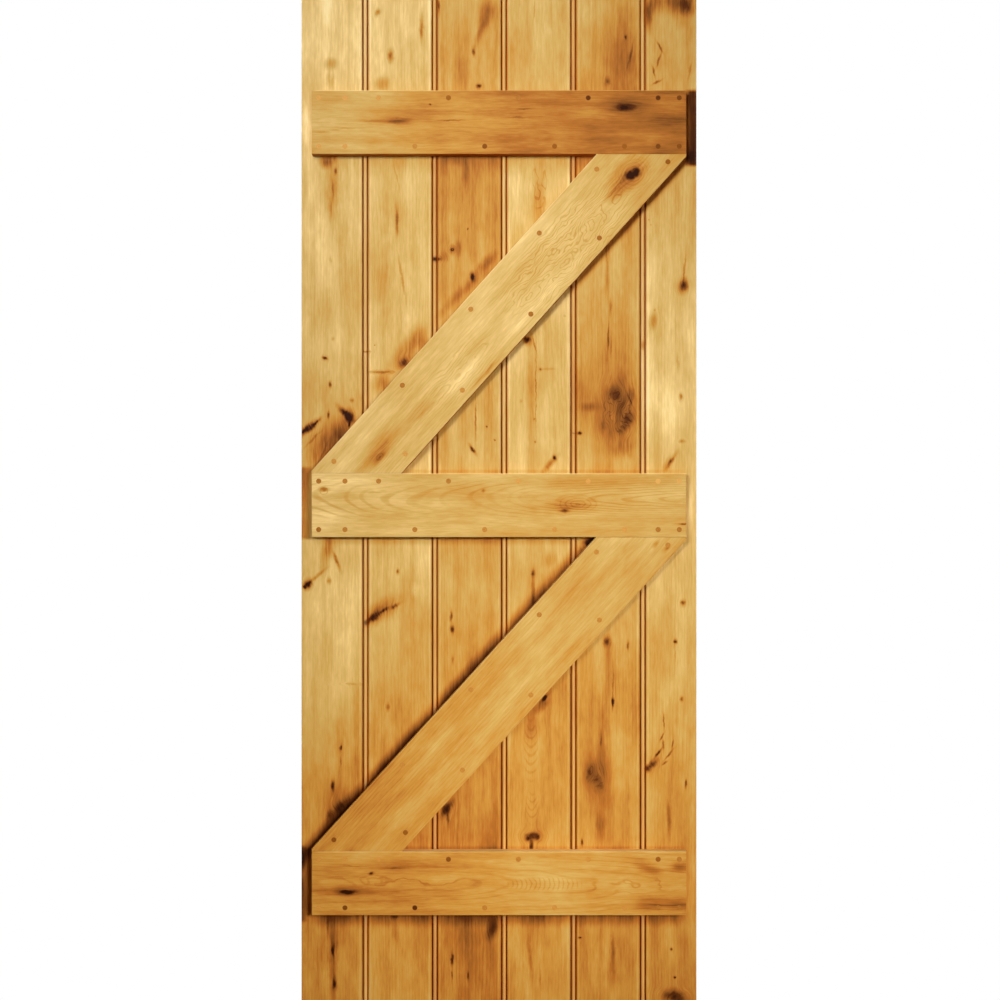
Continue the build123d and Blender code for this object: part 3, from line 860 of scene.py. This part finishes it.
brace_looks = {
    "upper_brace": {
        "tones": [(0.0, 0.30), (0.35, 0.26), (0.7, 0.28), (0.88, 0.38), (1.0, 0.42)],
        "pith": (20, 10, 0.03),
        "rings": (5.5, 0.05, 90),
        "curl": 14.0,
        "bands": 0.03,
        "marks": [
            (630.2, 175.2, 4.8, 4.8, 0, 0.85, 0.15), (636.2, 172.6, 4.6, 4.4, 0, 0.85, 0.15),
            (630, 176, 13, 13, 0, 0, 0.28), (616, 190, 6, 8, 0, 0, 0.16), (380, 457, 3, 6, 0, 0.07, 0.14),
            (378, 453, 9, 15, 0, 0, 0.2), (421, 412, 6, 18, 0, 0, 0.14), (471, 365, 4, 6, 0, 0, -0.04),
            (487, 352, 4, 6, 0, 0, -0.04), (488, 371, 1.6, 14, 0, 0, 0.2), (520, 290, 4, 10, 0, 0, -0.1),
        ],
        "swirls": [(566, 250, 36, 100, 75, 0.13), (462, 372, 22, 60, 40, 0.07)],
        "ripples": [(633, 174, 26, 26, 0, 1.1, 7, 0.05), (380, 457, 5, 7, 0, 1.3, 6, 0.1)],
    },
    "lower_brace": {
        "tones": [(0.0, 0.58), (0.2, 0.52), (0.5, 0.44), (1.0, 0.36)],
        "pith": (180, 60, 0.01),
        "rings": (6.0, 0.05, 500),
        "curl": 12.0,
        "bands": 0.04,
        "marks": [(656, 544, 2, 3, 0, 0.08, 0.2), (667, 548, 2, 3, 0, 0.15, 0.2)],
    },
}

for number, (name, look) in enumerate(brace_looks.items(), start=1):
    low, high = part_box(name)
    length = high.x - low.x
    rise = high.z - low.z - 2 * brace_toe
    slope = math.atan2(rise, length) + math.asin(brace_width / math.hypot(length, rise))
    run = (high.z - low.z - brace_toe) / math.tan(slope)
    outline = np.array([
        [low.x, low.z],
        [high.x - run, low.z],
        [high.x, high.z - brace_toe],
        [high.x, high.z],
        [low.x + run, high.z],
        [low.x, low.z + brace_toe],
    ])
    seed = brace_seed + number
    rings, stain, rubbed = rail_rings(outline, high.y, low.y, seed, brace_stains_and_shade, brace_highlights)
    brace = skin(f"oak_{name}", rings, joint_stain=stain, rubbed_edge=rubbed)
    centre = ((low.x + high.x) / 2, low.y, (low.z + high.z) / 2)
    half_length = math.hypot(length, high.z - low.z) / 2
    look = place_marks(look, low.y)
    finish = oak(f"brace_oak_{number}", slope, centre, (-half_length, half_length), seed, look)
    brace.data.materials.append(finish)
    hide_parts(name)
    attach(brace, "root")

# Pellets: short oak plugs glued into the bores over the screw heads and pared off flush with the rail.
# They show a round of darker grain with a thin glue line, a row inside each edge of a rail.
pellet_radius = 0.005
pellet_sides = 24
pellet_proud = 0.0001
pellet_span = 0.0115
pellet_ring_radii = pellet_radius * np.array([1, 1, 0.9, 0.45])
pellet_ring_glue = np.array([1, 0.7, 0.15, 0])
pellet_rim_rise = 0.6 * pellet_proud
pellet_noise = (1.4, 1.4, 1.4), 3.0
pellet_grain_share = 0.5
pellet_roughness = (0.5, 0.65)
pellet_specular = 0.05
pellet_relief = 0.4
pellet_relief_depth = 0.0004
pellet_glue = painted(150, 92, 32)
pellet_colours = [
    (0.0, painted(222, 172, 95)),
    (0.2, painted(205, 146, 68)),
    (0.5, painted(156, 92, 30)),
    (1.0, painted(84, 38, 8)),
]
# How dark each pellet is, from left to right, and from below where two are in line
pellet_shades = {
    "top_ledge": [0.1, 0.1, 0.12, 0.1, 0.15, 0.3, 0.5, 0.7, 0.4, 0.55, 0.95, 0.55, 0.8, 0.95, 0.7, 0.8],
    "middle_ledge": [
        0.45, 0.42, 0.35, 0.35, 0.35, 0.35, 0.35, 0.28, 0.12, 0.2, 0.1, 0.15, 0.4, 0.0, 0.4, 0.05,
    ],
    "bottom_ledge": [
        0.22, 0.22, 0.8, 0.22, 0.22, 1.0, 0.7, 0.35, 0.35, 0.25, 0.25, 0.25, 0.42, 0.55, 0.42, 0.38,
    ],
    "upper_brace": [0.25, 0.4, 0.15, 0.25, 0.3, 0.45, 0.4, 0.3, 0.45, 0.55],
    "lower_brace": [0.7, 0.3, 0.6, 0.3, 0.3, 0.3, 0.35, 0.28, 0.3, 0.3],
}


def pellet_centres(node):
    """The middle of each pellet of a CAD group: all points within a pellet's width of each other are one
    pellet, named by the first of them, and its middle is their mean."""
    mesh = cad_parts[node].data
    points = np.empty(len(mesh.vertices) * 3)
    mesh.vertices.foreach_get("co", points)
    points = points.reshape(-1, 3)[:, (0, 2)]
    apart = np.linalg.norm(points[:, None] - points[None], axis=-1)
    first = (apart < pellet_span).argmax(axis=1)
    centres = np.array([points[first == one].mean(axis=0) for one in np.unique(first)])
    return centres[np.lexsort((centres[:, 1], centres[:, 0].round(3)))]


pellet_wood, pellet_tree = blank_finish("pellet_oak")
pellet_place = step(pellet_tree, "Mapping", {
    "Vector": step(pellet_tree, "TexCoord", {}, "Object"),
    "Scale": [millimetres] * 3,
})
pellet_grain = cloud(pellet_tree, pellet_place, *pellet_noise)
pellet_shade = step(pellet_tree, "Attribute", {}, "Fac", attribute_name="shade")
pellet_tone = sum_of(pellet_tree, "MULTIPLY_ADD", pellet_grain, pellet_grain_share, pellet_shade)
pellet_tone = sum_of(pellet_tree, "SUBTRACT", pellet_tone, pellet_grain_share / 2)
pellet_colour = step(pellet_tree, "ValToRGB", {0: pellet_tone})
set_stops(pellet_colour.node.color_ramp, pellet_colours)
pellet_rim = step(pellet_tree, "Attribute", {}, "Fac", attribute_name="glue_line")
pellet_mix = {0: pellet_rim, 6: pellet_colour, 7: pellet_glue}
pellet_colour = step(pellet_tree, "Mix", pellet_mix, 2, data_type="RGBA")
pellet_bump = {"Strength": pellet_relief, "Distance": pellet_relief_depth, "Height": pellet_grain}
pellet_finish = step(pellet_tree, "BsdfPrincipled", {
    "Base Color": pellet_colour,
    "Roughness": spread(pellet_tree, pellet_grain, *gloss_range, *pellet_roughness),
    "Specular IOR Level": pellet_specular,
    "Normal": step(pellet_tree, "Bump", pellet_bump),
})
step(pellet_tree, "OutputMaterial", {"Surface": pellet_finish})

rail_names = [*ledge_looks, *brace_looks]
for rail in rail_names:
    node = f"{rail}_pellets"
    low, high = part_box(node)
    centres = pellet_centres(node)
    turn = np.linspace(0, 2 * math.pi, pellet_sides, endpoint=False)
    depths = np.array([high.y, low.y, low.y - pellet_rim_rise, low.y - pellet_proud])
    shape = (len(centres), len(depths), pellet_sides)
    points = np.stack((
        centres[:, None, None, 0] + pellet_ring_radii[:, None] * np.cos(turn),
        np.broadcast_to(depths[:, None], shape),
        centres[:, None, None, 1] + pellet_ring_radii[:, None] * np.sin(turn),
    ), axis=-1)
    index = np.arange(math.prod(shape)).reshape(shape)
    ahead = np.roll(index, -1, axis=2)
    walls = np.stack((index[:, :-1], ahead[:, :-1], ahead[:, 1:], index[:, 1:]), axis=-1).reshape(-1, 4)
    ends = index[:, 0, ::-1].tolist() + index[:, -1].tolist()
    shade = np.repeat(pellet_shades[rail], len(depths) * pellet_sides)
    rim = shade * np.tile(np.repeat(pellet_ring_glue, pellet_sides), len(centres))
    pellets = new_piece(f"oak_{node}", points, walls.tolist() + ends, shade=shade, glue_line=rim)
    pellets.data.materials.append(pellet_wood)
    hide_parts(node)
    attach(pellets, "root")

# Screws: plain steel screws sunk under the pellets, one through each bore into the board behind it.
# They are hidden once the pellets are in, and keep the shape that the frame gives them.
steel_colours = [(0.3, painted(120, 118, 114)), (0.7, painted(176, 174, 168))]
steel_noise = (3, 3, 3), 3.0
steel_roughness = (0.3, 0.5)

steel, steel_tree = blank_finish("screw_steel")
steel_place = step(steel_tree, "Mapping", {
    "Vector": step(steel_tree, "TexCoord", {}, "Object"),
    "Scale": [millimetres] * 3,
})
steel_cloud = cloud(steel_tree, steel_place, *steel_noise)
steel_colour = step(steel_tree, "ValToRGB", {0: steel_cloud})
set_stops(steel_colour.node.color_ramp, steel_colours)
steel_finish = step(steel_tree, "BsdfPrincipled", {
    "Base Color": steel_colour,
    "Metallic": 1.0,
    "Roughness": spread(steel_tree, steel_cloud, *gloss_range, *steel_roughness),
})
step(steel_tree, "OutputMaterial", {"Surface": steel_finish})
for rail in rail_names:
    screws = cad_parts[f"{rail}_screws"]
    screws.data.materials.clear()
    screws.data.materials.append(steel)

# Stage: a pale floor under the door, a white surround, three soft lamps and the camera square to the door.
# The camera sees floor and surround as white, and both give back a dimmer, warmer light. The upper lamp
# stands to the left and lights the top, the lower one to the right lights the rest, and one lights the back.
floor_reach = 40.0
floor_colour = painted(124, 112, 98)
surround_colour = (1.0, 0.53, 0.2, 1.0)
surround_strength = 0.2
white = (1.0, 1.0, 1.0, 1.0)

corners = np.array([[-1, -1, 0], [1, -1, 0], [1, 1, 0], [-1, 1, 0]]) * floor_reach
floor = new_piece("floor", corners, [[0, 1, 2, 3]])
floor_finish, floor_tree = blank_finish("pale_floor")
floor_paint = step(floor_tree, "BsdfDiffuse", {"Color": floor_colour})
floor_light = step(floor_tree, "Emission", {"Color": white, "Strength": 1.0})
floor_seen = step(floor_tree, "LightPath", {}, "Is Camera Ray")
floor_mixed = step(floor_tree, "MixShader", {0: floor_seen, 1: floor_paint, 2: floor_light})
step(floor_tree, "OutputMaterial", {"Surface": floor_mixed})
floor.data.materials.append(floor_finish)

surround = bpy.data.worlds.new("surround")
surround.use_nodes = True
bpy.context.scene.world = surround
surround_tree = surround.node_tree
surround_tree.nodes.clear()
seen = step(surround_tree, "LightPath", {}, "Is Camera Ray")
glow = spread(surround_tree, seen, 0.0, 1.0, surround_strength, 1.0)
sky = step(surround_tree, "Mix", {0: seen, 6: surround_colour, 7: white}, 2, data_type="RGBA")
backdrop = step(surround_tree, "Background", {"Color": sky, "Strength": glow})
step(surround_tree, "OutputWorld", {"Surface": backdrop})

lamp_blend = 0.8


def soft_lamp(name, place, aim, radius, beam, power, colour):
    """A round lamp at a place, turned to face the aim, with a beam that fades to the edge of a cone."""
    lamp = bpy.data.lights.new(name, "SPOT")
    lamp.shadow_soft_size = radius
    lamp.spot_size = math.radians(beam)
    lamp.spot_blend = lamp_blend
    lamp.energy = power
    lamp.color = colour
    fitting = bpy.data.objects.new(name, lamp)
    fitting.location = place
    direction = Vector(aim) - Vector(place)
    fitting.rotation_euler = direction.to_track_quat("-Z", "Y").to_euler()
    bpy.context.scene.collection.objects.link(fitting)


soft_lamp("upper_lamp", place=(-1.4, -3.7, 2.35), aim=(0, 0, 1.82), radius=0.9, beam=28.0, power=1030,
          colour=(0.97, 1.0, 1.02))
soft_lamp("lower_lamp", place=(2.0, -3.6, 1.4), aim=(0, 0, 0.28), radius=0.8, beam=29.0, power=1010,
          colour=(0.94, 0.92, 0.81))
soft_lamp("rear_lamp", place=(2.9, 3.3, 2.3), aim=(0, 0, 1.0), radius=0.9, beam=30.0, power=1500,
          colour=(1.0, 0.98, 0.92))

bpy.context.scene.view_settings.view_transform = "Standard"
eye = bpy.data.cameras.new("camera")
eye.sensor_fit = "VERTICAL"
eye.angle = 2 * math.atan(metres_per_pixel * picture_pixels / 2 / camera_distance)
camera = bpy.data.objects.new("camera", eye)
camera.location = (camera_side, -camera_distance, camera_height)
camera.rotation_euler = (math.pi / 2, 0, 0)
bpy.context.scene.collection.objects.link(camera)
bpy.context.scene.camera = camera

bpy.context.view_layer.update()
